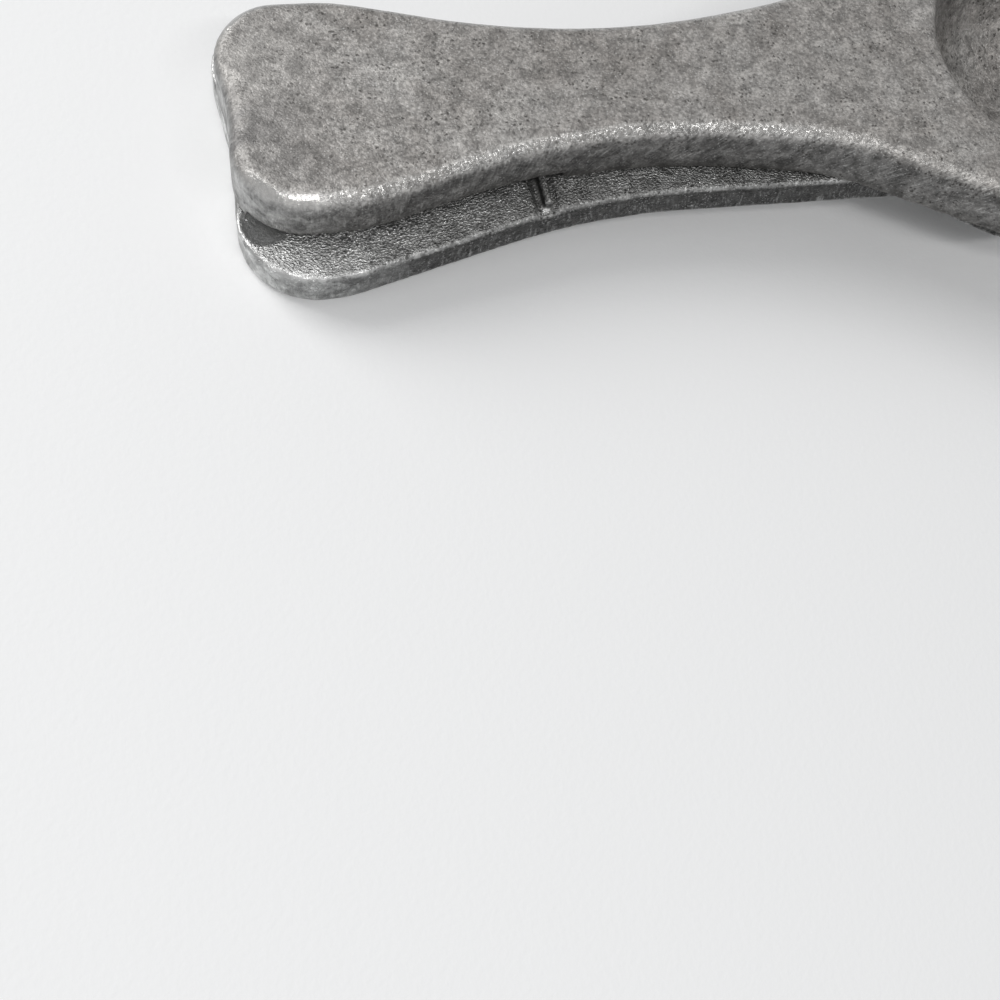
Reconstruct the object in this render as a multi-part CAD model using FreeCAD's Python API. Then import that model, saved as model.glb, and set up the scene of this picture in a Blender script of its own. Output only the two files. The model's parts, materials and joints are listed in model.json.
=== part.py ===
import FreeCAD, Part
import math
import os

# Hinged lemon squeezer in cast aluminium: a wide lower lever that carries the cup,
# a narrower upper lever that carries the press dome, and one steel hinge pin.
# All sizes are in millimetres. The levers are drawn lying level, with x = 0 at the
# middle of the cup, the handles towards -X, the hinge towards +X and z = 0 on the
# underside of the lower lever. At the end the closed squeezer is tipped until it
# rests on its cup and on the end of its lower handle, as it lies on a table.

# Plan of the handles
handleReach = 154.5        # middle of the cup to the corners of the handle end
endHollow = 2.4            # how far the middle of the handle end is drawn in
endHollowR = 42.0
waistX = 91.5              # where both handles are narrowest
waistR = 125.0
upperBulbLength = 22.0     # end of the upper handle to where its widest part narrows
upperBulbHalf = 20.0
upperBulbR = 29.0
upperCornerR = 11.0
upperWaistHalf = 9.1
upperShoulderX = 48.0      # where the upper lever starts to flare into its head
upperShoulderHalf = 16.1
upperShoulderR = 50.0
ledgeWidth = 7.2           # how far the lower handle stands out beside the upper one
lowerBulbLength = 17.5
lowerBulbR = 23.0
lowerCornerR = 12.5
lowerRootHalf = 19.0       # half width of the lower handle where it ends in the cup

# Heights and edges
lowerThick = 6.7
seatGap = 0.3              # between the closed levers where they come nearest
upperThick = 10.3
topRound = 3.0
bottomRound = 1.0
rimRound = 0.7
handleRelief = 1.6         # extra gap under the upper handle
reliefRun = 3.8            # the relief stops this far past the cross rib, on the waist
endLip = 3.0               # width of the lip left at the handle end

# Ribs under the upper handle
sideWall = 4.2
pocketDepth = 5.2
ribWidth = 3.0
cellPitch = 17.0
cellCount = 5
firstCellInset = 7.5       # handle end to the first cell

# Cross rib and its two grooves on the lower handle, and the notch in each corner
crossRibX = 101.6
crossRibWidth = 1.4
crossRibGap = 0.4          # left below the upper lever
crossRibHalf = 17.6
grooveWidth = 1.3
grooveDepth = 0.8
notchInset = 5.3           # handle end to the middle of the notch
notchY = 15.6
notchR = 8.0
notchDepth = 1.3

# Cup and press dome
cupMouthR = 29.5
cupDepth = 19.2            # rim to inner bottom
cupWall = 3.0
cupRimWidth = 3.9
cupRimHeight = 4.6
cupEdgeRound = 0.9
rootRound = 8.0            # between the sides of the lower handle and the cup
peelGap = 7.0              # room for the peel below the dome
peelRing = 6.5             # room for the peel round the dome
domeWall = 3.5
bowlRound = 2.4
headOverhang = 3.6         # how far the head stands out over the rim of the cup

# Drain holes
slotWidth = 2.6
innerSlotCount = 6
innerSlotFrom = 5.0
innerSlotTo = 11.0
outerSlotCount = 12
outerSlotFrom = 14.0
outerSlotTo = 20.5
centreHoleR = 1.7

# Hinge
pinR = 2.0
pinClearance = 0.07
pinHeadLip = 1.5           # how far the peened head stands out over the pin
pinHeadHeight = 1.3
pinHeadRound = 0.9
knuckleR = 6.1
knuckleHalf = 6.0
knuckleGap = 0.3           # beside and under the knuckle
earWidth = 5.0
earGap = 0.5               # between the head of the upper lever and the ears
webThick = 2.4
webDrop = 3.2              # from the pin axis down to the top of the back web
earRound = 0.8
hingeRoot = 8.0            # how far the block and the neck reach in under the head
blockTopR = 1.0
blockHeelR = 3.5
blockToeR = 12.0
blockRise = 2.6            # how far the heel of the hinge block is raised

# Worked out from the sizes above
upperBottom = lowerThick + seatGap
upperTop = upperBottom + upperThick
reliefTop = upperBottom + handleRelief
cupR = (cupMouthR ** 2 + cupDepth ** 2) / (2 * cupDepth)
cupCentreZ = lowerThick - cupDepth + cupR
cupOuterR = cupR + cupWall
cupRimR = cupMouthR + cupRimWidth
headR = cupRimR + headOverhang
domeBaseR = cupMouthR - peelRing
domeDepth = cupDepth + seatGap - peelGap
domeR = (domeBaseR ** 2 + domeDepth ** 2) / (2 * domeDepth)
domeCentreZ = upperBottom - domeDepth + domeR
bowlR = domeR - domeWall
bowlMouthR = math.sqrt(bowlR ** 2 - (domeCentreZ - upperTop) ** 2)
pinX = headR + knuckleR - earGap
pinZ = upperTop - knuckleR
earHalf = knuckleHalf + knuckleGap + earWidth
far = 400.0                # longer than the whole squeezer, for cutting tools
near = 0.01                # two places closer than this count as one


def vec(x, y, z=0.0):
    return FreeCAD.Vector(x, y, z)


def box(x0, x1, y0, y1, z0, z1):
    return Part.makeBox(x1 - x0, y1 - y0, z1 - z0, vec(x0, y0, z0))


def cylinderY(x, z, radius, halfLength):
    return Part.makeCylinder(radius, 2 * halfLength, vec(x, -halfLength, z), vec(0, 1, 0))


def cornerArc(before, corner, after, radius):
    # Arc of this radius that touches both legs of a corner.
    legIn = (before - corner).normalize()
    legOut = (after - corner).normalize()
    half = legIn.getAngle(legOut) / 2
    run = radius / math.tan(half)
    bisector = (legIn + legOut).normalize()
    centre = corner + bisector * (radius / math.sin(half))
    middle = centre - bisector * radius
    return Part.Arc(corner + legIn * run, middle, corner + legOut * run)


def roundedEdges(corners):
    # Straight runs joined by arcs. A corner with no radius, and each end, stays sharp.
    points = [vec(x, y) for x, y, _ in corners]
    edges = []
    start = points[0]
    for i in range(1, len(points) - 1):
        radius = corners[i][2]
        if radius == 0:
            edges.append(Part.LineSegment(start, points[i]).toShape())
            start = points[i]
            continue
        arc = cornerArc(points[i - 1], points[i], points[i + 1], radius)
        edges.append(Part.LineSegment(start, arc.StartPoint).toShape())
        edges.append(arc.toShape())
        start = arc.EndPoint
    edges.append(Part.LineSegment(start, points[-1]).toShape())
    return edges


def bothSides(half):
    # The outline from the head round the handle end and back, from its +Y half.
    middle = (-handleReach + endHollow, 0.0, endHollowR)
    return half + [middle] + [(x, -y, r) for x, y, r in reversed(half)]


def tangentPoint(x, y, radius):
    # Where the line from (x, y) touches the circle round the origin, on the +Y side.
    distance = math.hypot(x, y)
    angle = math.atan2(y, x) - math.acos(radius / distance)
    return radius * math.cos(angle), radius * math.sin(angle)


def upperOutline():
    touchX, touchY = tangentPoint(-upperShoulderX, upperShoulderHalf, headR)
    half = [
        (touchX, touchY, 0.0),
        (-upperShoulderX, upperShoulderHalf, upperShoulderR),
        (-waistX, upperWaistHalf, waistR),
        (upperBulbLength - handleReach, upperBulbHalf, upperBulbR),
        (-handleReach, upperBulbHalf, upperCornerR),
    ]
    edges = roundedEdges(bothSides(half))
    head = Part.Arc(vec(touchX, -touchY), vec(headR, 0), vec(touchX, touchY))
    return Part.Wire(edges + [head.toShape()])


def lowerOutline():
    # The straight sides of the handle end inside the ring of the cup.
    half = [
        (0.0, lowerRootHalf, 0.0),
        (-waistX, upperWaistHalf + ledgeWidth, waistR),
        (lowerBulbLength - handleReach, upperBulbHalf + ledgeWidth, lowerBulbR),
        (-handleReach, upperBulbHalf + ledgeWidth, lowerCornerR),
    ]
    edges = roundedEdges(bothSides(half))
    closing = Part.LineSegment(vec(0, -lowerRootHalf), vec(0, lowerRootHalf))
    return Part.Wire(edges + [closing.toShape()])


def prism(wire, z0, z1):
    solid = Part.Face(wire).extrude(vec(0, 0, z1 - z0))
    solid.translate(vec(0, 0, z0))
    return solid


def edgesAt(shape, z, keep):
    # Edges that lie wholly at this height and pass the test on their middle point.
    found = []
    for edge in shape.Edges:
        bounds = edge.BoundBox
        if abs(bounds.ZMin - z) > near or abs(bounds.ZMax - z) > near:
            continue
        middle = edge.valueAt((edge.FirstParameter + edge.LastParameter) / 2)
        if keep(middle):
            found.append(edge)
    return found


def slotCutter(angle, fromR, toR):
    half = slotWidth / 2
    inner = Part.makeCylinder(half, far, vec(fromR + half, 0, -far))
    outer = Part.makeCylinder(half, far, vec(toR - half, 0, -far))
    middle = box(fromR + half, toR - half, -half, half, -far, 0)
    cutter = middle.fuse([inner, outer])
    cutter.rotate(vec(0, 0), vec(0, 0, 1), angle)
    return cutter


def drainCutters():
    cutters = [Part.makeCylinder(centreHoleR, far, vec(0, 0, -far))]
    for count, fromR, toR in (
        (innerSlotCount, innerSlotFrom, innerSlotTo),
        (outerSlotCount, outerSlotFrom, outerSlotTo),
    ):
        for i in range(count):
            cutters.append(slotCutter(360.0 * (i + 0.5) / count, fromR, toR))
    return cutters


def ballBelow(radius, centreZ, top):
    ball = Part.makeSphere(radius, vec(0, 0, centreZ))
    return ball.common(box(-far, far, -far, far, -far, top))


def cupOutside():
    rim = Part.makeCylinder(cupRimR, cupRimHeight, vec(0, 0, lowerThick - cupRimHeight))
    return ballBelow(cupOuterR, cupCentreZ, lowerThick).fuse(rim)


def blockProfile():
    # Side view of the ears, the floor under the knuckle and the web behind it.
    rootX = headR - hingeRoot
    frontX = pinX - knuckleR
    rearX = pinX + knuckleR
    backX = rearX + knuckleGap + webThick
    webTop = pinZ - webDrop
    heelR = min(blockHeelR, webTop - blockRise - blockTopR)  # its back face ends at the top round
    corners = [
        (rootX, lowerThick, 0),
        (frontX, lowerThick, 0),
        (frontX, pinZ, 0),
        (rearX, pinZ, 0),
        (rearX, webTop, 0),
        (backX, webTop, blockTopR),
        (backX, blockRise, heelR),
        (frontX, 0, blockToeR),
        (rootX, 0, 0),
        (rootX, lowerThick, 0),
    ]
    return Part.Wire(roundedEdges(corners))


def hingeBlock():
    slab = Part.Face(blockProfile()).extrude(vec(0, 0, 2 * earHalf))
    slab.translate(vec(0, 0, -earHalf))
    slab.rotate(vec(0, 0), vec(1, 0, 0), 90)
    block = slab.fuse(cylinderY(pinX, pinZ, knuckleR, earHalf)).removeSplitter()
    block = block.makeFillet(earRound, [e for e in block.Edges if onEarSide(e)])
    slotHalf = knuckleHalf + knuckleGap
    well = cylinderY(pinX, pinZ, knuckleR + knuckleGap, slotHalf)
    behind = box(pinX, far, -slotHalf, slotHalf, pinZ - webDrop, far)
    before = box(0, pinX, -slotHalf, slotHalf, lowerThick, far)
    return block.cut(well.fuse([behind, before]))


def onEarSide(edge):
    # Outer edges of the ears and the heel. The short upright step behind each ear stays sharp.
    bounds = edge.BoundBox
    flat = bounds.YLength < near and abs(abs(bounds.YMin) - earHalf) < near
    step = bounds.XLength < near and abs(bounds.XMax - pinX - knuckleR) < near
    return flat and bounds.XMax > pinX and not step


def lowerLever():
    plate = prism(lowerOutline(), 0, lowerThick)
    plate = plate.makeFillet(bottomRound, edgesAt(plate, 0, lambda p: p.x < -near))
    body = plate.fuse([cupOutside(), hingeBlock()]).removeSplitter()
    body = body.cut([ballBelow(cupR, cupCentreZ, upperBottom)] + drainCutters())
    body = body.cut(pinBore(pinR))
    body = body.makeFillet(rootRound, [e for e in body.Edges if isRoot(e)])
    mouth = edgesAt(body, lowerThick, lambda p: abs(math.hypot(p.x, p.y) - cupMouthR) < near)
    body = body.makeFillet(cupEdgeRound, mouth)
    outside = edgesAt(body, lowerThick, lambda p: p.x < -near and math.hypot(p.x, p.y) > cupRimR - near)
    body = body.makeFillet(rimRound, outside)
    return addHandleDetail(body)


def isRoot(edge):
    # The two upright corners where the sides of the handle meet the ring of the cup.
    bounds = edge.BoundBox
    upright = bounds.XLength < near and bounds.YLength < near
    onRing = abs(math.hypot(bounds.XMin, bounds.YMin) - cupRimR) < near
    return upright and onRing and bounds.XMax < 0


def addHandleDetail(body):
    groove = crossRibWidth / 2 + grooveWidth
    channel = box(-crossRibX - groove, -crossRibX + groove, -far, far, lowerThick - grooveDepth, far)
    body = body.cut(channel)
    half = crossRibWidth / 2
    ribTop = reliefTop - crossRibGap
    rib = box(-crossRibX - half, -crossRibX + half, -crossRibHalf, crossRibHalf, lowerThick / 2, ribTop)
    body = body.fuse(rib)
    for side in (-1, 1):
        centre = vec(notchInset - handleReach, side * notchY, lowerThick - notchDepth + notchR)
        body = body.cut(Part.makeSphere(notchR, centre))
    return body.removeSplitter()


def pinBore(radius):
    return cylinderY(pinX, pinZ, radius, far)


def pocketCells():
    # Blind cells between a middle rib and cross ribs, inside the walls of the handle.
    inner = Part.Face(upperOutline()).makeOffset2D(-sideWall)
    region = inner.extrude(vec(0, 0, pocketDepth + handleRelief))
    region.translate(vec(0, 0, upperBottom))
    cells = []
    for i in range(cellCount):
        x0 = firstCellInset - handleReach + i * cellPitch
        x1 = x0 + cellPitch - ribWidth
        for y0, y1 in ((-far, -ribWidth / 2), (ribWidth / 2, far)):
            cells.append(region.common(box(x0, x1, y0, y1, 0, far)))
    return cells


def upperLever():
    body = prism(upperOutline(), upperBottom, upperTop)
    body = body.makeFillet(topRound, edgesAt(body, upperTop, lambda p: True))
    dome = ballBelow(domeR, domeCentreZ, upperBottom + upperThick / 2)
    body = body.fuse(dome).removeSplitter()
    body = body.cut(Part.makeSphere(bowlR, vec(0, 0, domeCentreZ)))
    brim = edgesAt(body, upperTop, lambda p: abs(math.hypot(p.x, p.y) - bowlMouthR) < near)
    body = body.makeFillet(bowlRound, brim)
    for side in (-1, 1):
        y0, y1 = sorted((side * knuckleHalf, side * (earHalf + earGap)))
        body = body.cut(box(pinX - knuckleR - earGap, far, y0, y1, 0, far))
    body = body.fuse([hingeNeck()]).removeSplitter()
    body = body.cut(pinBore(pinR + pinClearance))
    relief = box(endLip - handleReach, reliefRun - crossRibX, -far, far, 0, reliefTop)
    return body.cut([relief] + pocketCells())


def hingeNeck():
    # Arm from the head to the knuckle, rounded along its upper sides.
    arm = box(headR - hingeRoot, pinX, -knuckleHalf, knuckleHalf, upperBottom, upperTop)
    neck = arm.fuse(cylinderY(pinX, pinZ, knuckleR, knuckleHalf)).removeSplitter()
    sides = edgesAt(neck, upperTop, lambda p: abs(p.y) > knuckleHalf - near)
    return neck.makeFillet(earRound, sides)


def hingePin():
    pin = cylinderY(pinX, pinZ, pinR, earHalf)
    for side in (-1, 1):
        base = vec(pinX, side * earHalf, pinZ)
        head = Part.makeCylinder(pinR + pinHeadLip, pinHeadHeight, base, vec(0, side, 0))
        outerY = side * (earHalf + pinHeadHeight)
        ring = [e for e in head.Edges if abs(e.BoundBox.Center.y - outerY) < near and e.Closed]
        pin = pin.fuse(head.makeFillet(pinHeadRound, ring))
    return pin.removeSplitter()


def restAngle(lower):
    # The angle of the line that touches the cup and the rounded handle end from below.
    endX = lower.BoundBox.XMin + bottomRound
    rise = cupCentreZ - bottomRound
    span = math.hypot(endX, rise)
    slope = math.atan2(rise, -endX)
    return math.degrees(slope - math.asin((cupOuterR - bottomRound) / span))


def main():
    os.makedirs("parts", exist_ok=True)
    nodes = {
        "lower_lever": lowerLever(),
        "upper_lever": upperLever(),
        "hinge_pin": hingePin(),
    }
    angle = restAngle(nodes["lower_lever"])
    for shape in nodes.values():
        shape.rotate(vec(0, 0), vec(0, 1, 0), angle)
    whole = Part.Compound(list(nodes.values())).optimalBoundingBox(False, False)
    shift = vec(-whole.Center.x, 0, -whole.ZMin)
    axis = FreeCAD.Placement(vec(0, 0), FreeCAD.Rotation(vec(0, 1, 0), angle)).multVec(vec(pinX, 0, pinZ))
    print("tipped by", round(-angle, 3), "degrees")
    print("pin axis at", round(axis.x + shift.x, 3), round(axis.z + shift.z, 3))
    print("size", round(whole.XLength, 2), round(whole.YLength, 2), round(whole.ZLength, 2))
    for name, shape in nodes.items():
        shape.translate(shift)
        print(name, "valid", shape.isValid(), "solids", len(shape.Solids), "volume", round(shape.Volume, 1))
        shape.exportStep("parts/" + name + ".step")


main()
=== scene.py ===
import json
import math

import bpy
import numpy as np
from mathutils import Matrix, Vector
from mathutils.bvhtree import BVHTree
from mathutils.kdtree import KDTree


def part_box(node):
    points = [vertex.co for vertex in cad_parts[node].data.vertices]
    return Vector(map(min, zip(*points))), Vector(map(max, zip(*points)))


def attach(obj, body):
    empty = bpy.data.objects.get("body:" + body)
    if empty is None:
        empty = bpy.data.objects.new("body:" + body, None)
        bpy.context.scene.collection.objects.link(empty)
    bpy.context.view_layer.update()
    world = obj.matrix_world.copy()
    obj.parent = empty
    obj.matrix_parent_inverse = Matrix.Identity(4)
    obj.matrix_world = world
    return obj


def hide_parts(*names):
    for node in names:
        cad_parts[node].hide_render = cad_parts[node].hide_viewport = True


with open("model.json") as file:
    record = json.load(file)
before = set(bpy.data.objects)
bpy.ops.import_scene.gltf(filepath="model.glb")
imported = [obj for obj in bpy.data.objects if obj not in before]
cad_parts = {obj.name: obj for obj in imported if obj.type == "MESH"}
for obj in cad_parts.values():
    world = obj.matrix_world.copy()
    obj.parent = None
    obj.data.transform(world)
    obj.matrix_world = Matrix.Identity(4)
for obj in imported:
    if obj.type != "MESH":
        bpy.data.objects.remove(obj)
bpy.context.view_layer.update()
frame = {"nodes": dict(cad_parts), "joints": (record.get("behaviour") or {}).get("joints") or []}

mm = 0.001
hinge = Vector(frame["joints"][0]["pos_m"])
tipAngle = math.radians(5.837)  # the closed levers lie tipped by this much
print("frame loaded")


# camera: the place and turn from which the handles are seen, nothing else is moved to fit it
cameraSet = {
    "place": (-0.12276, -0.11816, 0.15744),
    "right": (0.94014, -0.21603, 0.26355),
    "up": (0.11329, 0.92753, 0.35617),
    "lens": 39.06,
    "sensor": 36.0,
}


def makeCamera(cam):
    data = bpy.data.cameras.new("studioCamera")
    data.lens = cam["lens"]
    data.sensor_width = cam["sensor"]
    data.clip_start = 0.005
    data.clip_end = 20
    right = Vector(cam["right"]).normalized()
    up = Vector(cam["up"]).normalized()
    back = right.cross(up).normalized()
    turn = Matrix((right, back.cross(right), back)).transposed().to_4x4()
    camera = bpy.data.objects.new("studioCamera", data)
    camera.matrix_world = Matrix.Translation(cam["place"]) @ turn
    bpy.context.scene.collection.objects.link(camera)
    bpy.context.scene.camera = camera


makeCamera(cameraSet)
print("camera set")


# small helpers for objects and edit mode

def deselectAll():
    if bpy.context.mode != "OBJECT":
        bpy.ops.object.mode_set(mode="OBJECT")
    bpy.ops.object.select_all(action="DESELECT")


def makeActive(piece):
    deselectAll()
    piece.select_set(True)
    bpy.context.view_layer.objects.active = piece


def applyModifier(piece, kind, **values):
    makeActive(piece)
    modifier = piece.modifiers.new(kind.lower(), kind)
    for name, value in values.items():
        setattr(modifier, name, value)
    bpy.ops.object.modifier_apply(modifier=modifier.name)


def coordsOf(piece):
    found = np.empty(len(piece.data.vertices) * 3, np.float32)
    piece.data.vertices.foreach_get("co", found)
    return found.reshape(-1, 3).astype(float)


def normalsOf(piece):
    found = np.empty(len(piece.data.vertices) * 3, np.float32)
    piece.data.vertex_normals.foreach_get("vector", found)
    return found.reshape(-1, 3).astype(float)


def edgesOf(piece):
    found = np.empty(len(piece.data.edges) * 2, np.int32)
    piece.data.edges.foreach_get("vertices", found)
    return found.reshape(-1, 2)


def neighbourMean(values, edges, rounds):
    # evens a value per point out over its neighbours
    counts = np.bincount(edges.ravel(), minlength=len(values))
    for _ in range(rounds):
        total = np.bincount(edges[:, 0], values[edges[:, 1]], len(values))
        total += np.bincount(edges[:, 1], values[edges[:, 0]], len(values))
        values = (values + total) / (counts + 1)
    return values


def levelCoords(coords):
    # the same points with the levers lying level, pin axis at the origin
    c, s = math.cos(tipAngle), math.sin(tipAngle)
    x, z = coords[:, 0] - hinge.x, coords[:, 2] - hinge.z
    return np.stack([x * c + z * s, coords[:, 1], z * c - x * s], 1)


def levelNormals(piece):
    # adding the hinge first takes back the shift to the pin axis, which is for places only
    return levelCoords(normalsOf(piece) + np.array(hinge))


def storeMask(piece, name, values):
    layer = piece.data.attributes.new(name, "FLOAT", "POINT")
    layer.data.foreach_set("value", values.astype(np.float32))


# castings: each lever is a merged, remeshed copy of its CAD node, so that its edges soften as
# a sand casting's do and its skin can carry real unevenness

mergeWithin = 0.002 * mm
skinSet = {
    "flatFrom": 0.6,          # a face is flat if its normal points up or down by more than this
    "hingeClear": 8.5 * mm,   # nothing is uneven this near to the pin axis
    "weightSteps": 10,
    "sink": 0.62,             # cloud value that moves nothing: most of the skin sinks in a little
}
upperSet = {
    "name": "upperCasting",
    "node": "upper_lever",
    "body": "upper",
    "slot": "cast_upper",
    "keep": (-5.1 * mm, -1.9 * mm),   # flat faces between these heights over the pin axis stay true
    "voxel": 0.565 * mm,
    "soften": 3,            # smoothing steps for the edges
    "waveSize": 14 * mm,
    "waveHeight": 0.16 * mm,
    "dentSize": 4.5 * mm,
    "dentHeight": 0.09 * mm,
}
lowerSet = {
    "name": "lowerCasting",
    "node": "lower_lever",
    "body": "lower",
    "slot": "cast_lower",
    "keep": (0, 0),         # none: its top is slightly uneven too, by less than the gap over it
    "voxel": 0.56 * mm,
    "soften": 2,
    "waveSize": 16 * mm,
    "waveHeight": 0.12 * mm,
    "dentSize": 3.2 * mm,
    "dentHeight": 0.08 * mm,
    "notch": (-191.8 * mm, 15.6 * mm, 4.6 * mm),   # middle of each corner notch and its reach
}


def mergedCopy(node, name):
    piece = bpy.data.objects.new(name, frame["nodes"][node].data.copy())
    piece.data.name = name
    piece.data.materials.clear()
    bpy.context.scene.collection.objects.link(piece)
    makeActive(piece)
    bpy.ops.object.mode_set(mode="EDIT")
    bpy.ops.mesh.select_all(action="SELECT")
    bpy.ops.mesh.remove_doubles(threshold=mergeWithin)
    bpy.ops.object.mode_set(mode="OBJECT")
    return piece


def skinTexture(name, size, depth):
    texture = bpy.data.textures.new(name, "CLOUDS")
    texture.noise_scale = size
    texture.noise_depth = depth
    return texture


def freeSkin(piece, keep, skin):
    # weight for unevenness: none at the hinge and on flat faces between the kept heights
    level = levelCoords(coordsOf(piece))
    flat = np.abs(levelNormals(piece)[:, 2]) > skin["flatFrom"]
    toOther = (level[:, 2] > keep[0]) & (level[:, 2] < keep[1]) & flat
    atHinge = np.hypot(level[:, 0], level[:, 2]) < skin["hingeClear"]
    weights = np.where(toOther | atHinge, 0.0, 1.0)
    weights = neighbourMean(weights, edgesOf(piece), 3)
    group = piece.vertex_groups.new(name="freeSkin")
    steps = skin["weightSteps"]
    for step in range(1, steps + 1):
        low, high = (step - 1) / steps, step / steps
        chosen = np.nonzero((weights > low) & (weights <= high))[0]
        if len(chosen):
            group.add([int(i) for i in chosen], high, "REPLACE")


def makeCasting(part, skin):
    piece = mergedCopy(part["node"], part["name"])
    guide = mergedCopy(part["node"], part["name"] + "Guide")
    applyModifier(piece, "REMESH", mode="VOXEL", voxel_size=part["voxel"])
    applyModifier(piece, "SHRINKWRAP", target=guide, wrap_method="NEAREST_SURFACEPOINT")
    applyModifier(piece, "SMOOTH", factor=0.5, iterations=part["soften"])
    bpy.data.objects.remove(guide)
    freeSkin(piece, part["keep"], skin)
    for label, size, height in (
        ("Wave", part["waveSize"], part["waveHeight"]),
        ("Dent", part["dentSize"], part["dentHeight"]),
    ):
        applyModifier(
            piece, "DISPLACE", texture=skinTexture(part["name"] + label, size, 2),
            texture_coords="LOCAL", strength=height, mid_level=skin["sink"],
            vertex_group="freeSkin",
        )
    piece.vertex_groups.clear()
    makeActive(piece)
    bpy.ops.object.shade_smooth()
    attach(piece, part["body"])
    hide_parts(part["node"])
    print(part["name"], "has", len(piece.data.polygons), "faces")
    return piece


upperCasting = makeCasting(upperSet, skinSet)
lowerCasting = makeCasting(lowerSet, skinSet)


# masks that the finishes read: rubbed edges, hollows and sheltered places (which the finishes
# darken with painted shade and dirt), ground walls, and for each point how far it lies along
# the outline of its lever and in from it

maskSet = {
    "edgeFull": 260.0,        # bend per metre at which an edge counts as fully rubbed
    "hollowFull": 300.0,      # and a hollow as fully darkened by painted shade and dirt
    "shelterReach": 14 * mm,
    "shelterLift": 0.35 * mm,
    "grazing": 0.15,          # rays flatter to the skin than this don't count
    "outlineStep": 0.25 * mm,
    "notchSoft": 0.25,        # share of a notch's reach over which its mask fades
    "notchUp": 0.3,           # and it lies only where the normal points up by more than this
}
# heights over the pin axis at which each lever's outline is cut and its top lies, and the
# stretch, from the pin axis, over which the grip of a hand has worn its end, and over which
# its walls are painted lighter, partly as painted light
upperOutline = {"cut": 2.85 * mm, "top": 6.1 * mm, "gripFrom": -177 * mm, "gripTo": -194 * mm}
lowerOutline = {"cut": -8.2 * mm, "top": -4.5 * mm, "gripFrom": -166 * mm, "gripTo": -194 * mm}


def bendOf(piece):
    coords, normals, edges = coordsOf(piece), normalsOf(piece), edgesOf(piece)
    along = coords[edges[:, 1]] - coords[edges[:, 0]]
    length = np.maximum((along ** 2).sum(1), 1e-12)
    first = -(along * normals[edges[:, 0]]).sum(1) / length
    second = (along * normals[edges[:, 1]]).sum(1) / length
    total = np.bincount(edges[:, 0], first, len(coords))
    total += np.bincount(edges[:, 1], second, len(coords))
    counts = np.bincount(edges.ravel(), minlength=len(coords))
    return neighbourMean(total / np.maximum(counts, 1), edges, 3)


def treeOf(pieces):
    points, faces = [], []
    for piece in pieces:
        start = len(points)
        points += [v.co.copy() for v in piece.data.vertices]
        faces += [[start + i for i in p.vertices] for p in piece.data.polygons]
    return BVHTree.FromPolygons(points, faces)


def shelterOf(piece, tree, masks):
    # how much of the room over each point is closed in by the levers
    ways = (-1, 0, 1)
    rays = [
        Vector((x, y, z)).normalized() for x in ways for y in ways for z in ways
        if abs(x) + abs(y) + abs(z) in (1, 3)    # along the axes and into the corners
    ]
    reach, lift = masks["shelterReach"], masks["shelterLift"]
    found = np.zeros(len(piece.data.vertices))
    for i, vertex in enumerate(piece.data.vertices):
        normal = vertex.normal
        start = vertex.co + normal * lift
        closed = total = 0.0
        for ray in rays:
            weight = ray.dot(normal)
            if weight < masks["grazing"]:
                continue
            total += weight
            distance = tree.ray_cast(start, ray, reach)[3]
            if distance is not None:
                closed += weight * (1 - distance / reach)
        found[i] = closed / total
    return neighbourMean(found, edgesOf(piece), 4)


def lengthOf(line):
    return np.hypot(*np.diff(line, axis=0).T).sum() if len(line) > 1 else 0.0


def outlineLoop(node, height):
    # the longest closed line in which a level plane at this height cuts the lever
    guide = mergedCopy(node, node + "Cut")
    up = Vector((-math.sin(tipAngle), 0, math.cos(tipAngle)))
    bpy.ops.object.mode_set(mode="EDIT")
    bpy.ops.mesh.select_all(action="SELECT")
    bpy.ops.mesh.bisect(
        plane_co=hinge + up * height, plane_no=up, clear_inner=True, clear_outer=True,
    )
    bpy.ops.object.mode_set(mode="OBJECT")
    points = levelCoords(coordsOf(guide))[:, :2]
    links = {}
    for a, b in edgesOf(guide):
        links.setdefault(int(a), []).append(int(b))
        links.setdefault(int(b), []).append(int(a))
    bpy.data.objects.remove(guide)
    best = np.zeros((0, 2))
    while links:
        loop = [max(links, key=lambda i: points[i][0])]
        while loop[-1] in links:
            onward = [i for i in links.pop(loop[-1]) if i in links]
            if onward:
                loop.append(onward[0])
        if lengthOf(points[loop]) > lengthOf(best):
            best = points[loop]
    return np.vstack([best, best[:1]])


def outlinePlace(piece, node, outline, step):
    # for each point: the way along the outline, and the way in from it, counted up the wall and
    # then on over the top
    loop = outlineLoop(node, outline["cut"])
    runs = np.concatenate([[0], np.cumsum(np.hypot(*np.diff(loop, axis=0).T))])
    spots = np.arange(0, runs[-1], step)
    line = np.stack([np.interp(spots, runs, loop[:, 0]), np.interp(spots, runs, loop[:, 1])], 1)
    heading = np.roll(line, -1, 0) - np.roll(line, 1, 0)
    heading /= np.maximum(np.hypot(*heading.T), 1e-9)[:, None]
    turning = np.sign((loop[:-1, 0] * loop[1:, 1] - loop[1:, 0] * loop[:-1, 1]).sum())
    tree = KDTree(len(line))
    for i, (x, y) in enumerate(line):
        tree.insert((x, y, 0), i)
    tree.balance()
    level = levelCoords(coordsOf(piece))
    nearest = np.array([tree.find((x, y, 0))[1] for x, y in level[:, :2]])
    away = level[:, :2] - line[nearest]
    along = spots[nearest] + (away * heading[nearest]).sum(1)
    inward = turning * (heading[nearest][:, 0] * away[:, 1] - heading[nearest][:, 1] * away[:, 0])
    return along, inward + level[:, 2] - outline["top"]


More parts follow.
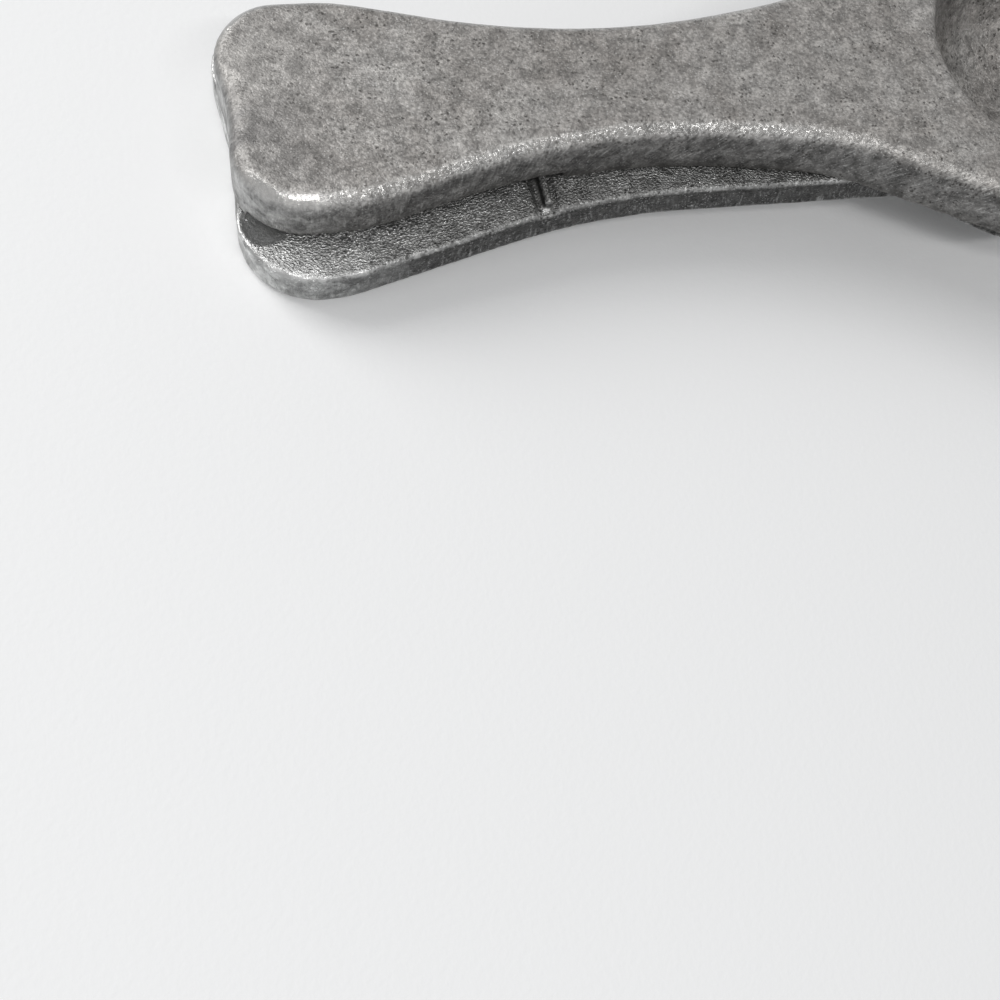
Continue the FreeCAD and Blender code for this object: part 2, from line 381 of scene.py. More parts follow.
def paintMasks(piece, part, tree, outline, masks):
    edges = edgesOf(piece)
    bend = bendOf(piece)
    storeMask(piece, "edge", np.clip(bend / masks["edgeFull"], 0, 1))
    storeMask(piece, "hollow", np.clip(-bend / masks["hollowFull"], 0, 1))
    storeMask(piece, "shelter", shelterOf(piece, tree, masks))
    normals = levelNormals(piece)
    storeMask(piece, "wall", neighbourMean(1 - np.abs(normals[:, 2]), edges, 2))
    # how far a wall faces one of the long sides, and not the handle end
    sideways = np.abs(normals[:, 1]) / np.maximum(np.hypot(normals[:, 0], normals[:, 1]), 0.05)
    storeMask(piece, "sideways", neighbourMean(np.clip(sideways, 0, 1), edges, 4))
    along, across = outlinePlace(piece, part["node"], outline, masks["outlineStep"])
    storeMask(piece, "along", along)
    storeMask(piece, "across", across)
    level = levelCoords(coordsOf(piece))
    end = (outline["gripFrom"] - level[:, 0]) / (outline["gripFrom"] - outline["gripTo"])
    storeMask(piece, "handled", np.clip(end, 0, 1))
    if "notch" in part:
        x, y, reach = part["notch"]
        apart = np.hypot(level[:, 0] - x, np.abs(level[:, 1]) - y)
        inside = np.clip((reach - apart) / (masks["notchSoft"] * reach), 0, 1)
        inside = inside * (normals[:, 2] > masks["notchUp"])
        storeMask(piece, "notch", neighbourMean(inside, edges, 2))


bothLevers = treeOf([upperCasting, lowerCasting])
paintMasks(upperCasting, upperSet, bothLevers, upperOutline, maskSet)
paintMasks(lowerCasting, lowerSet, bothLevers, lowerOutline, maskSet)
print("masks painted")


# hinge pin: a turned rod with both ends hammered over

pinSet = {
    "radius": 2.0 * mm,
    "sides": 40,
    "headRadius": 3.5 * mm,
    "headHeight": 1.3 * mm,
    "lip": (0.02 * mm, 0.1 * mm),    # heights of the two steps in which the head spreads out
    "lipWidth": 0.15 * mm,
    "shoulder": 0.35 * mm,           # straight part of the head before it rounds over
    "dome": ((0.36, 0.9), (0.2, 0.72), (0.07, 0.5)),   # steps up and radii, as shares of the head
    "dish": 0.22 * mm,               # hollow that the hammer left in the middle
    "dishTo": (0.36, 0.16),          # its radii, as shares of the head
    "softEdge": 0.06 * mm,
    "hammerSize": 1.3 * mm,
    "hammerHeight": 0.08 * mm,
    "sink": 0.6,
}


def selectFaces(piece, test):
    bpy.ops.object.mode_set(mode="EDIT")
    bpy.ops.mesh.select_all(action="DESELECT")
    bpy.ops.object.mode_set(mode="OBJECT")
    for face in piece.data.polygons:
        face.select = test(face)
    bpy.ops.object.mode_set(mode="EDIT")
    bpy.ops.mesh.select_mode(type="FACE")


def growEnd(side, pin, steps):
    # each step goes out by the first number and to the radius of the second
    radius = pin["radius"]
    for out, newRadius in steps:
        bpy.ops.mesh.extrude_region_move(TRANSFORM_OT_translate={"value": (0, side * out, 0)})
        share = newRadius / radius
        bpy.ops.transform.resize(value=(share, 1, share), center_override=tuple(hinge))
        radius = newRadius


def isRodEnd(face, side, ears):
    # the rod's own end on this side, and not the inner face of the head on the other side
    return face.normal.y * side > 0.9 and face.center.y * side > 0.9 * ears


def makePin(pin):
    low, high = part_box("hinge_pin")
    ears = high.y - pin["headHeight"]
    deselectAll()
    bpy.ops.mesh.primitive_cylinder_add(
        vertices=pin["sides"], radius=pin["radius"], depth=2 * ears,
        location=hinge, rotation=(math.pi / 2, 0, 0),
    )
    piece = bpy.context.active_object
    piece.name = "hingePin"
    bpy.ops.object.transform_apply(location=True, rotation=True, scale=True)
    head, top = pin["headRadius"], pin["headHeight"]
    steps = [(pin["lip"][0], head - pin["lipWidth"]), (pin["lip"][1], head)]
    steps += [(pin["shoulder"], head)]
    steps += [(out * top, wide * head) for out, wide in pin["dome"]]
    steps += [(-pin["dish"] * 0.5, wide * head) for wide in pin["dishTo"]]
    for side in (-1, 1):
        selectFaces(piece, lambda face: isRodEnd(face, side, ears))
        growEnd(side, pin, steps)
        bpy.ops.object.mode_set(mode="OBJECT")
    applyModifier(piece, "BEVEL", width=pin["softEdge"], segments=2, limit_method="ANGLE")
    applyModifier(piece, "SUBSURF", levels=2, render_levels=2)
    applyModifier(
        piece, "DISPLACE", texture=skinTexture("hammerMarks", pin["hammerSize"], 1),
        texture_coords="LOCAL", strength=pin["hammerHeight"], mid_level=pin["sink"],
    )
    makeActive(piece)
    bpy.ops.object.shade_smooth()
    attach(piece, "lower")
    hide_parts("hinge_pin")
    print("pin has", len(piece.data.polygons), "faces, from", low.y, "to", high.y)
    return piece


hingePin = makePin(pinSet)


# short helpers for building node trees, each returns an output socket

def feed(tree, socket, value):
    if isinstance(value, bpy.types.NodeSocket):
        tree.links.new(value, socket)
    else:
        socket.default_value = value


def addNode(tree, kind, settings=None, **inputs):
    node = tree.nodes.new(kind)
    for name, value in (settings or {}).items():
        setattr(node, name, value)
    for name, value in inputs.items():
        feed(tree, node.inputs[name.replace("_", " ")], value)
    return node


def calc(tree, operation, *values, clamp=False):
    node = addNode(tree, "ShaderNodeMath", {"operation": operation, "use_clamp": clamp})
    for socket, value in zip(node.inputs, values):
        feed(tree, socket, value)
    return node.outputs[0]


def times(tree, *factors):
    product = factors[0]
    for factor in factors[1:]:
        product = calc(tree, "MULTIPLY", product, factor)
    return product


def timesPlus(tree, value, factor, added, clamp=False):
    return calc(tree, "MULTIPLY_ADD", value, factor, added, clamp=clamp)


def spread(tree, value, low, high, toLow=0.0, toHigh=1.0):
    # the value's way from low to high, laid out from toLow to toHigh
    node = addNode(tree, "ShaderNodeMapRange", {"clamp": True})
    for socket, given in zip(node.inputs, (value, low, high, toLow, toHigh)):
        feed(tree, socket, given)
    return node.outputs[0]


def blend(tree, share, first, second, mode="MIX"):
    node = addNode(tree, "ShaderNodeMix", {"data_type": "RGBA", "blend_type": mode})
    for place, value in ((0, share), (6, first), (7, second)):    # 6 and 7 are its colours
        feed(tree, node.inputs[place], value)
    return node.outputs[2]


def stretched(tree, vector, scale, turn=(0, 0, 0)):
    return addNode(tree, "ShaderNodeMapping", Vector=vector, Scale=scale, Rotation=turn).outputs[0]


def noise(tree, vector, scale, detail=2.0, rough=0.55, distortion=0.0):
    return addNode(
        tree, "ShaderNodeTexNoise", Vector=vector, Scale=scale, Detail=detail, Roughness=rough,
        Distortion=distortion,
    ).outputs[0]


def cells(tree, vector, scale, feature="F1"):
    return addNode(tree, "ShaderNodeTexVoronoi", {"feature": feature}, Vector=vector, Scale=scale)


def warped(tree, vector, scale, reach):
    # the same vector, shifted about by up to this many metres
    shift = addNode(tree, "ShaderNodeTexNoise", Vector=vector, Scale=scale, Detail=2.0)
    node = addNode(tree, "ShaderNodeVectorMath", {"operation": "MULTIPLY_ADD"})
    values = (shift.outputs["Color"], (reach, reach, reach), vector)
    for socket, value in zip(node.inputs, values):
        feed(tree, socket, value)
    return node.outputs[0]


def maskOf(tree, name):
    settings = {"attribute_type": "GEOMETRY", "attribute_name": name}
    return addNode(tree, "ShaderNodeAttribute", settings).outputs["Fac"]


# node groups shared by the metal finishes

def newGroup(name, inputs, outputs):
    group = bpy.data.node_groups.new(name, "ShaderNodeTree")
    for label, kind, value in inputs:
        socket = group.interface.new_socket(
            name=label, in_out="INPUT", socket_type="NodeSocket" + kind)
        if value is not None:
            socket.default_value = value
    for label in outputs:
        group.interface.new_socket(name=label, in_out="OUTPUT", socket_type="NodeSocketFloat")
    given = group.nodes.new("NodeGroupInput").outputs
    return group, given, group.nodes.new("NodeGroupOutput").inputs


def makeCastSkin():
    # the skin that sand leaves on a casting: small lumps and facets, with finer grit on them
    group, given, result = newGroup(
        "castSkin", [("Vector", "Vector", None)], ["Height", "Facet"])
    point = given["Vector"]
    lying = stretched(
        group, warped(group, point, 1400.0, 0.0007), (0.85, 1.15, 1.0), (0, 0, math.radians(28)))
    lump = cells(group, lying, 2700.0, "SMOOTH_F1")
    lump.inputs["Smoothness"].default_value = 0.3
    facet = spread(group, lump.outputs["Distance"], 0.0, 0.75, 1.0, 0.0)
    height = timesPlus(group, noise(group, point, 5200.0, 2.0, 0.6), 0.5, facet)
    height = timesPlus(group, noise(group, point, 620.0, 3.0), 1.1, height)
    feed(group, result["Height"], height)
    feed(group, result["Facet"], facet)
    return group


def makeBeltMarks():
    # short strokes of a coarse grinding belt, laid across the outline and broken up by lumps
    inputs = [("Along", "Float", 0.0), ("Across", "Float", 0.0), ("Lean", "Float", 0.0),
              ("Place", "Vector", None)]
    group, given, result = newGroup("beltMarks", inputs, ["Height", "Stroke"])
    leaned = timesPlus(group, given["Across"], given["Lean"], given["Along"])
    flat = addNode(group, "ShaderNodeCombineXYZ", X=leaned, Y=given["Across"]).outputs[0]
    coarse = noise(group, stretched(group, flat, (1.0, 0.15, 1.0)), 1900.0, 2.0, 0.6)
    fine = noise(group, stretched(group, flat, (1.0, 0.1, 1.0)), 5200.0, 1.0)
    broken = spread(group, noise(group, given["Place"], 420.0, 3.0, 0.6), 0.4, 0.62)
    stroke = times(group, spread(group, coarse, 0.5, 0.66), broken)
    lump = noise(group, given["Place"], 1500.0, 3.0, 0.65)
    strokes = timesPlus(group, fine, 0.3, coarse)
    strokes = times(group, strokes, spread(group, broken, 0.0, 1.0, 0.3, 1.0))
    feed(group, result["Height"], timesPlus(group, lump, 0.8, strokes))
    feed(group, result["Stroke"], stroke)
    return group


def makeAgedStain():
    # blotches, fine mottling, small dark pits and pale worn grains of old dull aluminium
    group, given, result = newGroup(
        "agedStain", [("Vector", "Vector", None)], ["Blotch", "Patch", "Mottle", "Pit", "Grain"])
    point = given["Vector"]
    feed(group, result["Blotch"], noise(group, point, 75.0, 4.0, 0.55, 0.6))
    feed(group, result["Patch"], noise(group, point, 360.0, 3.0, 0.6, 0.5))
    feed(group, result["Mottle"], noise(group, point, 1700.0, 4.0, 0.7))
    area = spread(group, noise(group, point, 190.0, 3.0), 0.40, 0.54)
    spot = cells(group, warped(group, point, 2600.0, 0.0008), 1250.0)
    chance = spread(group, spot.outputs["Color"], 0.42, 0.56)    # some cells only have a pit
    pit = spread(group, spot.outputs["Distance"], 0.18, 0.42, 1.0, 0.0)
    feed(group, result["Pit"], times(group, pit, chance, area))
    speck = cells(group, warped(group, point, 3000.0, 0.0005), 2300.0)
    chance = spread(group, speck.outputs["Color"], 0.58, 0.7)
    grain = spread(group, speck.outputs["Distance"], 0.2, 0.42, 1.0, 0.0)
    feed(group, result["Grain"], times(group, grain, chance))
    return group


def makeEdgeRub():
    # breaks a painted edge mask up, so that wear looks rubbed and not drawn
    inputs = [("Vector", "Vector", None), ("Edge", "Float", 0.0), ("Reach", "Float", 0.5)]
    group, given, result = newGroup("edgeRub", inputs, ["Mask"])
    rough = noise(group, given["Vector"], 1900.0, 3.0, 0.7)
    patch = noise(group, given["Vector"], 130.0, 3.0)
    both = timesPlus(group, rough, 0.6, times(group, patch, 0.6))
    level = timesPlus(group, given["Edge"], 1.0, calc(group, "ADD", both, -1.0))
    feed(group, result["Mask"], spread(group, level, 0.0, given["Reach"]))
    return group


castSkin = makeCastSkin()
beltMarks = makeBeltMarks()
agedStain = makeAgedStain()
edgeRub = makeEdgeRub()
print("node groups built")


# finishes

upperFinish = {
    "name": "castUpper",
    "dull": (0.205, 0.195, 0.185, 1),
    "pale": (0.275, 0.267, 0.257, 1),
    "wall": (0.155, 0.152, 0.148, 1),
    "pit": (0.05, 0.047, 0.044, 1),
    # pale metal for worn grains, strokes and rubbed edges, and for the painted highlight on the
    # shiny edge
    "worn": (0.62, 0.62, 0.61, 1),
    # colour of painted shade and dirt, towards which hollows, sheltered places and wall feet darken
    "shadeDirt": (0.07, 0.068, 0.064, 1),
    "handled": (0.36, 0.36, 0.356, 1),      # lighter walls at the held end: wear from the hand, and painted light
    "notch": (0.2, 0.2, 0.2, 1),
    "smear": (0.13, 0.13, 0.132, 1),        # darker blotches on top of the held end
    "smearShare": 0.5,
    "rough": 0.50,
    "edgeRough": -0.33,                     # added to it on the shiny edge
    "edgeAll": 1.0,                         # how far the shiny edge runs on past the held end
    "edgeCalm": 0.6,                        # how much of the relief is rubbed away on the edge
    # painted highlight: how far the shiny edge is lightened towards the pale metal
    "paintedHighlightShare": 0.35,
    "polishAndHighlightTo": (-5 * mm, 14 * mm),         # the edge is rubbed shiny by hands, and painted with a highlight, up to here
    "pitShare": 0.8,
    "grainShare": 0.35,
    "shadeDirtShare": 0.6,
    "rubShare": 0.35,
    "rubAtEnd": 0.2,                        # share of the rub that is left at the held end
    "skinTipsAndGlints": 0.0,                       # bright flecks on the lumps of the flat faces: worn tips and painted glints
    "footTo": (-10.3 * mm, -6.5 * mm),      # painted shade darkens the foot of the wall
    "footShade": 0.7,
    "shadePast": (-84 * mm, -66 * mm),       # painted shade: flat faces are darker beyond the grip, towards the head
    "shadePastShare": 0.0,
    "skinOnFlat": 0.35,
    "leanOver": (-62 * mm, -40 * mm),       # the marks begin to lean along this stretch
    "lean": 0.8,
    "marksFrom": (-8.5 * mm, -4.5 * mm),    # marks fade in up the wall
    "marksTo": (1.2 * mm, 3.4 * mm),        # and out on the top
    "bump": 0.16 * mm,
}
lowerFinish = {
    "name": "castLower",
    "dull": (0.29, 0.289, 0.284, 1),
    "pale": (0.41, 0.41, 0.405, 1),
    # painted shade: the lower lever's walls are made far darker than the upper's
    "wall": (0.05, 0.0495, 0.048, 1),
    "pit": (0.03, 0.03, 0.028, 1),
    # near-white: worn grains and edges, and the painted glints on the ledge
    "worn": (0.88, 0.88, 0.875, 1),
    "shadeDirt": (0.055, 0.054, 0.051, 1),
    "handled": (0.52, 0.525, 0.52, 1),
    # painted light: a pale colour that lifts the notch, which lies in shade
    "notch": (0.62, 0.625, 0.62, 1),
    "smear": (0.2, 0.2, 0.2, 1),
    "smearShare": 0.0,
    "rough": 0.36,
    "edgeRough": -0.07,
    "edgeAll": 0.0,
    "edgeCalm": 0.4,
    "paintedHighlightShare": 0.0,
    "polishAndHighlightTo": (-60 * mm, -50 * mm),
    "pitShare": 0.8,
    "grainShare": 0.3,
    "shadeDirtShare": 0.35,
    "rubShare": 0.2,
    "rubAtEnd": 1.0,
    "skinTipsAndGlints": 0.85,
    "footTo": (-9.0 * mm, -7.0 * mm),
    "footShade": 0.4,
    "shadePast": (-84 * mm, -66 * mm),
    "shadePastShare": 0.45,
    "skinOnFlat": 0.6,
    "leanOver": (-62 * mm, -40 * mm),
    "lean": 0.3,
    "marksFrom": (-6.5 * mm, -4.5 * mm),
    "marksTo": (-1.2 * mm, -0.4 * mm),
    "bump": 0.3 * mm,
}
# what both castings share
castShared = {
    "masks": ("wall", "edge", "hollow", "shelter", "along", "across", "handled", "notch",
              "sideways"),
    "noiseSpan": (0.36, 0.64),      # nearly all values of a noise lie in here
    "wallSpan": (0.3, 0.85),        # steepness over which a face turns into a wall
    "flatSpan": (0.1, 0.5),
    "heldWornLitShare": 0.9,
    "endCalm": -0.6,                # the held end is worn smooth, with less mottling and fewer pits
    "mottleDepth": 0.36,
    "patchDepth": 0.27,
    "patchOnWall": 0.7,
    "raggedBy": 5 * mm,             # how far the marks run over their limits, and the mean of it
    "raggedMean": -3.5 * mm,
    "strokeShare": 0.3,
    "facetSpan": (0.45, 0.7),       # lumps of the skin whose tips are flecks
    "fleckPatch": (0.38, 0.56),
    "fleckEdge": (0.1, 0.4),
    "fleckLeast": 0.15,
    "hollowShadeDirt": 0.4,
    "shelterSpan": (0.25, 1.0),
    "shadeDirtSpan": (0.3, 0.6, 0.6, 1.0),       # the mottling breaks the painted shade and dirt up
    "notchLessShadeDirt": -0.8,
    "notchLightShare": 0.85,
    "openSpan": (0.12, 0.4),                # shelter over which wear stops
    "edgeIn": (0.03, 0.14),                 # steepness over which the shiny edge begins
    "edgeOut": (0.4, 0.75),                 # and ends, down the wall
    "edgeBend": (0.06, 0.25),
    "longSide": (0.32, 0.66),               # it lies along the long sides
    "shineSpan": (0.42, 0.56),              # and is broken up by the mottling
    "shineLeast": (0.0, 0.5, 0.25, 0.95),   # but hardly at the held corner
    "polishAndHighlightPast": 0.15,
    "rubHeld": (0.0, 0.5),
    "rubSide": (0.4, 0.8),
    "mottleRough": 0.24,
    "pitRough": 0.25,
    "fleckRough": -0.15,
    "shadeDirtRough": 0.15,
    "mottleRelief": 0.4,
    "pitRelief": -0.6,
    "metallic": 0.9,
}


def newMaterial(name):
    material = bpy.data.materials.new(name)
    material.use_nodes = True
    material.node_tree.nodes.clear()
    return material, material.node_tree


def useGroup(tree, group, **inputs):
    return addNode(tree, "ShaderNodeGroup", {"node_tree": group}, **inputs).outputs


def castMaterial(finish, shared):
    material, tree = newMaterial(finish["name"])
    coords = addNode(tree, "ShaderNodeTexCoord").outputs["Object"]
    level = stretched(tree, coords, (1, 1, 1), (0, tipAngle, 0))
    wall, edge, hollow, shelter, along, across, handled, notch, sideways = (
        maskOf(tree, name) for name in shared["masks"])
    stain = useGroup(tree, agedStain, Vector=level)
    skin = useGroup(tree, castSkin, Vector=level)
    middle = addNode(tree, "ShaderNodeSeparateXYZ", Vector=level).outputs["X"]
    lean = spread(tree, middle, *finish["leanOver"], 0.0, finish["lean"])
    marks = useGroup(tree, beltMarks, Along=along, Across=across, Lean=lean, Place=level)
    rub = useGroup(tree, edgeRub, Vector=level, Edge=edge, Reach=0.5)["Mask"]
    onWall = spread(tree, wall, *shared["wallSpan"])
    onFlat = calc(tree, "SUBTRACT", 1.0, spread(tree, wall, *shared["flatSpan"]))
    plain = calc(tree, "SUBTRACT", 1.0, notch)
    calm = timesPlus(tree, handled, shared["endCalm"], 1.0)
    ragged = timesPlus(tree, marks["Height"], shared["raggedBy"], across)
    ragged = calc(tree, "ADD", ragged, shared["raggedMean"])
    ground = times(tree, spread(tree, ragged, *finish["marksFrom"]),
                   spread(tree, ragged, *finish["marksTo"], 1.0, 0.0))

    # colour: blotches, smears, walls and the held end; the lower lever's very dark wall colour is
    # painted shade, and the lighter walls of the held end are partly painted light
    blotch = spread(tree, stain["Blotch"], *shared["noiseSpan"])
    tone = blend(tree, blotch, finish["dull"], finish["pale"])
    smear = times(tree, spread(tree, stain["Blotch"], 0.58, 0.42), handled, finish["smearShare"])
    tone = blend(tree, smear, tone, finish["smear"])
    tone = blend(tree, onWall, tone, finish["wall"])
    # walls at the held end are lightened: wear, and painted light
    heldWornLit = times(tree, handled, onWall, shared["heldWornLitShare"])
    tone = blend(tree, heldWornLit, tone, finish["handled"])

    # mottling
    depth, patchDepth = shared["mottleDepth"], shared["patchDepth"]
    mottled = spread(tree, stain["Mottle"], *shared["noiseSpan"], -depth, depth)
    patchy = spread(tree, stain["Patch"], *shared["noiseSpan"], -patchDepth, patchDepth)
    patchy = timesPlus(tree, patchy, timesPlus(tree, onWall, shared["patchOnWall"], 1.0), 1.0)
    mottled = times(tree, timesPlus(tree, mottled, calm, 1.0), patchy)
    grey = addNode(tree, "ShaderNodeCombineColor", Red=mottled, Green=mottled, Blue=mottled)
    tone = blend(tree, 1.0, tone, grey.outputs[0], "MULTIPLY")

    # worn grains, flecks on the skin (worn tips and painted glints), strokes of the belt and pits
    grain = times(tree, stain["Grain"], calm, finish["grainShare"])
    tone = blend(tree, grain, tone, finish["worn"])
    most, least = finish["skinTipsAndGlints"], shared["fleckLeast"]
    tips = spread(tree, skin["Facet"], *shared["facetSpan"])
    # worn tips and painted glints on the lumps of flat faces
    tipsAndGlints = times(
        tree, calc(tree, "MAXIMUM", tips, stain["Grain"]),
        spread(tree, stain["Patch"], *shared["fleckPatch"], least, most),
        spread(tree, edge, *shared["fleckEdge"], most, least), onFlat, plain,
    )
    tone = blend(tree, tipsAndGlints, tone, finish["worn"])
    # painted shade: flat faces darken towards the head, beyond the grip
    past = times(tree, spread(tree, middle, *finish["shadePast"], 0.0, finish["shadePastShare"]), onFlat)
    tone = blend(tree, past, tone, finish["shadeDirt"])
    strokes = times(tree, marks["Stroke"], ground, shared["strokeShare"])
    tone = blend(tree, strokes, tone, finish["worn"])
    pits = times(tree, stain["Pit"], calm, finish["pitShare"])
    tone = blend(tree, pits, tone, finish["pit"])

    # painted shade and dirt: darker in hollows, in sheltered places and along the foot of the walls
    shadeAndDirt = timesPlus(
        tree, hollow, shared["hollowShadeDirt"], spread(tree, shelter, *shared["shelterSpan"]))
    foot = spread(tree, across, *finish["footTo"], finish["footShade"], 0.0)
    shadeAndDirt = calc(tree, "ADD", shadeAndDirt, foot)
    uneven = spread(tree, stain["Mottle"], *shared["shadeDirtSpan"])
    shadeAndDirt = calc(tree, "MULTIPLY", shadeAndDirt, uneven, clamp=True)
    shadeAndDirt = times(tree, shadeAndDirt, timesPlus(tree, notch, shared["notchLessShadeDirt"], 1.0))
    tone = blend(tree, times(tree, shadeAndDirt, finish["shadeDirtShare"]), tone, finish["shadeDirt"])

    # the shiny edge (polished, and lightened as a painted highlight), the rubbed places and the
    # notches (lifted with painted light)
    upper = times(
        tree, spread(tree, across, *finish["marksFrom"]),
        spread(tree, shelter, *shared["openSpan"], 1.0, 0.0),
        calc(tree, "MAXIMUM", handled, finish["edgeAll"]),
    )
    least = spread(tree, handled, *shared["shineLeast"])
    polishAndHighlight = times(
        tree, spread(tree, wall, *shared["edgeIn"]),
        spread(tree, wall, *shared["edgeOut"], 1.0, 0.0),
        spread(tree, edge, *shared["edgeBend"]), spread(tree, sideways, *shared["longSide"]),
        spread(tree, stain["Mottle"], *shared["shineSpan"], least, 1.0),
        spread(tree, middle, *finish["polishAndHighlightTo"], 1.0, shared["polishAndHighlightPast"]), upper,
    )
    # painted highlight: the shiny edge is lightened towards the pale metal
    tone = blend(tree, times(tree, polishAndHighlight, finish["paintedHighlightShare"]), tone, finish["worn"])
    atEnd = times(tree, spread(tree, handled, *shared["rubHeld"], 1.0, finish["rubAtEnd"]),
                  spread(tree, sideways, *shared["rubSide"]))
    rubbed = times(tree, rub, upper, atEnd, finish["rubShare"])
    tone = blend(tree, rubbed, tone, finish["worn"])
    # painted light: the notch is lifted to a pale colour
    tone = blend(tree, times(tree, notch, shared["notchLightShare"]), tone, finish["notch"])

    # roughness
    spreadBy = shared["mottleRough"]
    rough = timesPlus(tree, stain["Mottle"], spreadBy, finish["rough"] - spreadBy / 2)
    rough = timesPlus(tree, pits, shared["pitRough"], rough)
    bright = calc(tree, "MAXIMUM", grain, tipsAndGlints)
    rough = timesPlus(tree, bright, shared["fleckRough"], rough)
    rough = timesPlus(tree, polishAndHighlight, finish["edgeRough"], rough)
    rough = timesPlus(tree, shadeAndDirt, shared["shadeDirtRough"], rough, clamp=True)

    # relief
    height = times(tree, skin["Height"], times(tree, onFlat, finish["skinOnFlat"], plain))
    height = timesPlus(tree, marks["Height"], ground, height)
    height = timesPlus(tree, stain["Mottle"], shared["mottleRelief"], height)
    height = timesPlus(tree, pits, shared["pitRelief"], height)
    height = times(tree, height, timesPlus(tree, polishAndHighlight, -finish["edgeCalm"], 1.0))
    bump = addNode(
        tree, "ShaderNodeBump", Height=height, Distance=finish["bump"], Strength=1.0).outputs[0]
    finishSurface(tree, tone, rough, bump, shared["metallic"])
    return material


def finishSurface(tree, tone, rough, bump, metallic):
    shader = addNode(
        tree, "ShaderNodeBsdfPrincipled", Base_Color=tone, Roughness=rough, Normal=bump)
    shader.inputs["Metallic"].default_value = metallic
    addNode(tree, "ShaderNodeOutputMaterial", Surface=shader.outputs[0])


pinFinish = {
    "steel": (0.42, 0.42, 0.43, 1),
    "rubbed": (0.62, 0.62, 0.62, 1),
    "rust": (0.12, 0.075, 0.05, 1),
    "rustShare": 0.7,
    "rough": (0.26, 0.5),
    "bump": 0.05 * mm,
}


def pinMaterial(finish):
    material, tree = newMaterial("pinSteel")
    coords = addNode(tree, "ShaderNodeTexCoord").outputs["Object"]
    stain = useGroup(tree, agedStain, Vector=coords)
    drawn = noise(tree, stretched(tree, coords, (1.0, 0.12, 1.0)), 3000.0, 2.0, 0.6)
    tone = blend(tree, spread(tree, drawn, 0.35, 0.65), finish["steel"], finish["rubbed"])
    tone = blend(tree, times(tree, stain["Pit"], finish["rustShare"]), tone, finish["rust"])
    rough = spread(tree, stain["Mottle"], 0.3, 0.7, *finish["rough"])
    height = timesPlus(tree, stain["Mottle"], 0.6, drawn)
    bump = addNode(
        tree, "ShaderNodeBump", Height=height, Distance=finish["bump"], Strength=1.0).outputs[0]
    finishSurface(tree, tone, rough, bump, 1.0)
    return material


upperCasting.data.materials.append(castMaterial(upperFinish, castShared))
lowerCasting.data.materials.append(castMaterial(lowerFinish, castShared))
hingePin.data.materials.clear()
hingePin.data.materials.append(pinMaterial(pinFinish))
for node, piece in (                     # the plain nodes get the same finishes
    ("upper_lever", upperCasting), ("lower_lever", lowerCasting), ("hinge_pin", hingePin),
):
    plainSlots = frame["nodes"][node].data.materials
    plainSlots.clear()
    plainSlots.append(piece.data.materials[0])
print("finishes placed")


# floor, world and lamps

studioSet = {
    "floorHalf": 3.0,
    "floorColour": (0.90, 0.90, 0.90, 1),
    "whiteShare": 0.05,        # how much of the floor is plain white to the camera
    "fadeFrom": 0.3,           # the floor fades into the white behind over these distances
    "fadeTo": 0.95,
    "grain": 900.0,
    "bump": 0.05 * mm,
    "world": (0.96, 0.98, 1.0, 1),
    "worldLight": 0.30,
}
lamps = [
    # name, place, aimed at, width, height, power
    ("windowLamp", (-0.03, -0.51, 0.68), (-0.05, 0, 0.02), 0.58, 0.03, 1.4),
    ("cornerLamp", (-0.30, -0.45, 0.76), (-0.08, 0, 0.02), 0.09, 0.08, 1.2),
    ("sideLamp", (-0.68, 0.52, 0.55), (-0.05, 0, 0.02), 0.60, 0.60, 6.8),
]


def seenRay(tree):
    # 1 for rays that come from the camera, off metal or through glass, 0 for light
    path = addNode(tree, "ShaderNodeLightPath").outputs
    seen = calc(tree, "MAXIMUM", path["Is Camera Ray"], path["Is Glossy Ray"])
    return calc(tree, "MAXIMUM", seen, path["Is Transmission Ray"])


def mixShaders(tree, share, first, second):
    node = addNode(tree, "ShaderNodeMixShader")
    for socket, value in zip(node.inputs, (share, first, second)):
        feed(tree, socket, value)
    return node.outputs[0]


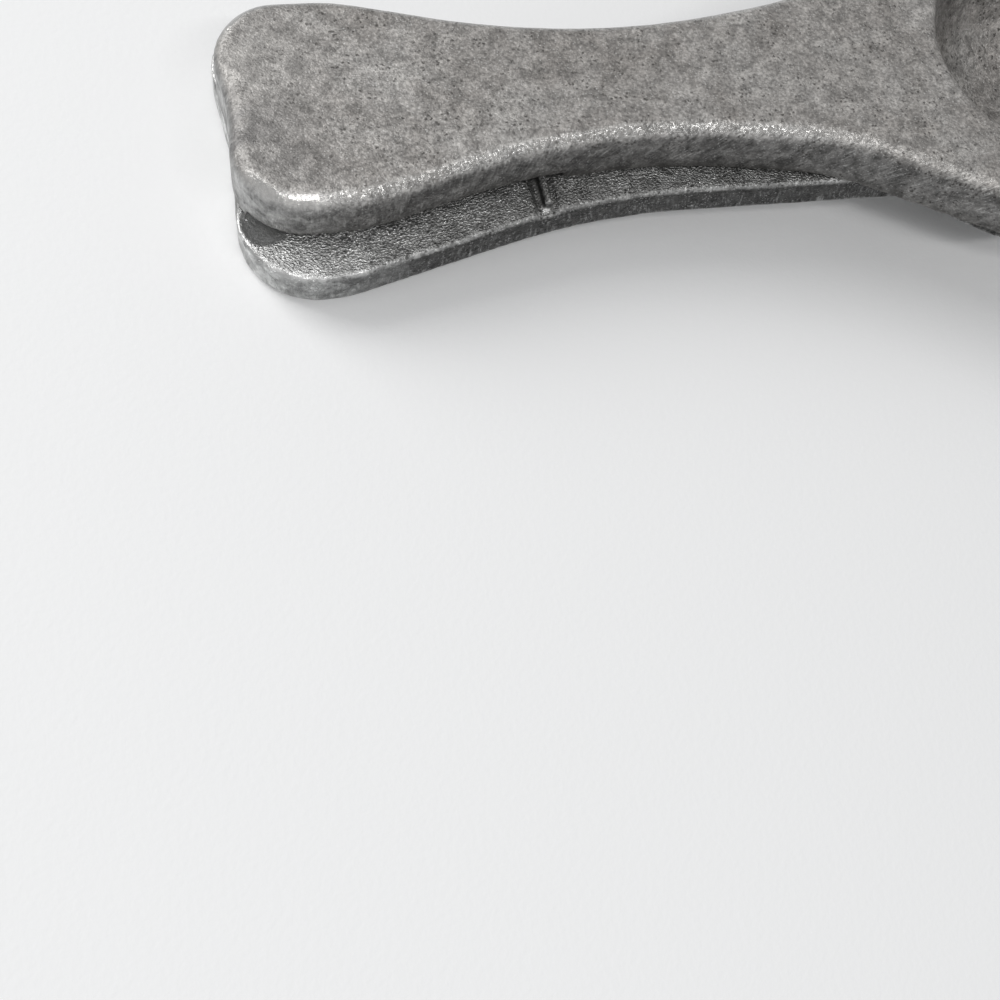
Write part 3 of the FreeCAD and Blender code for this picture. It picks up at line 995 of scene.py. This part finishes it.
def makeFloor(studio):
    deselectAll()
    bpy.ops.mesh.primitive_plane_add(size=2 * studio["floorHalf"], location=(0, 0, 0))
    floor = bpy.context.active_object
    floor.name = "studioFloor"
    material, tree = newMaterial("paleFloor")
    coords = addNode(tree, "ShaderNodeTexCoord").outputs["Object"]
    grain = noise(tree, coords, studio["grain"])
    bump = addNode(tree, "ShaderNodeBump", Height=grain, Distance=studio["bump"]).outputs[0]
    matt = addNode(
        tree, "ShaderNodeBsdfDiffuse", Color=studio["floorColour"], Normal=bump).outputs[0]
    white = addNode(tree, "ShaderNodeEmission", Color=(1, 1, 1, 1), Strength=1.0).outputs[0]
    away = addNode(tree, "ShaderNodeVectorMath", {"operation": "LENGTH"}, Vector=coords)
    fade = spread(tree, away.outputs["Value"], studio["fadeFrom"], studio["fadeTo"],
                  studio["whiteShare"], 1.0)
    surface = mixShaders(tree, times(tree, seenRay(tree), fade), matt, white)
    addNode(tree, "ShaderNodeOutputMaterial", Surface=surface)
    floor.data.materials.append(material)


def makeWorld(studio):
    world = bpy.data.worlds.new("studioWorld")
    world.use_nodes = True
    tree = world.node_tree
    tree.nodes.clear()
    light = {"Color": studio["world"], "Strength": studio["worldLight"]}
    around = addNode(tree, "ShaderNodeBackground", **light).outputs[0]
    behind = addNode(tree, "ShaderNodeBackground", Color=(1, 1, 1, 1), Strength=1.0).outputs[0]
    surface = mixShaders(tree, seenRay(tree), around, behind)
    addNode(tree, "ShaderNodeOutputWorld", Surface=surface)
    bpy.context.scene.world = world


def makeLamp(name, place, aim, width, height, power):
    data = bpy.data.lights.new(name, "AREA")
    data.shape = "RECTANGLE"
    data.size = width
    data.size_y = height
    data.energy = power
    lamp = bpy.data.objects.new(name, data)
    lamp.location = place
    lamp.rotation_euler = (Vector(aim) - Vector(place)).to_track_quat("-Z", "Y").to_euler()
    bpy.context.scene.collection.objects.link(lamp)


makeFloor(studioSet)
makeWorld(studioSet)
for lamp in lamps:
    makeLamp(*lamp)
bpy.context.scene.view_settings.view_transform = "Standard"
print("studio lit")

bpy.context.view_layer.update()
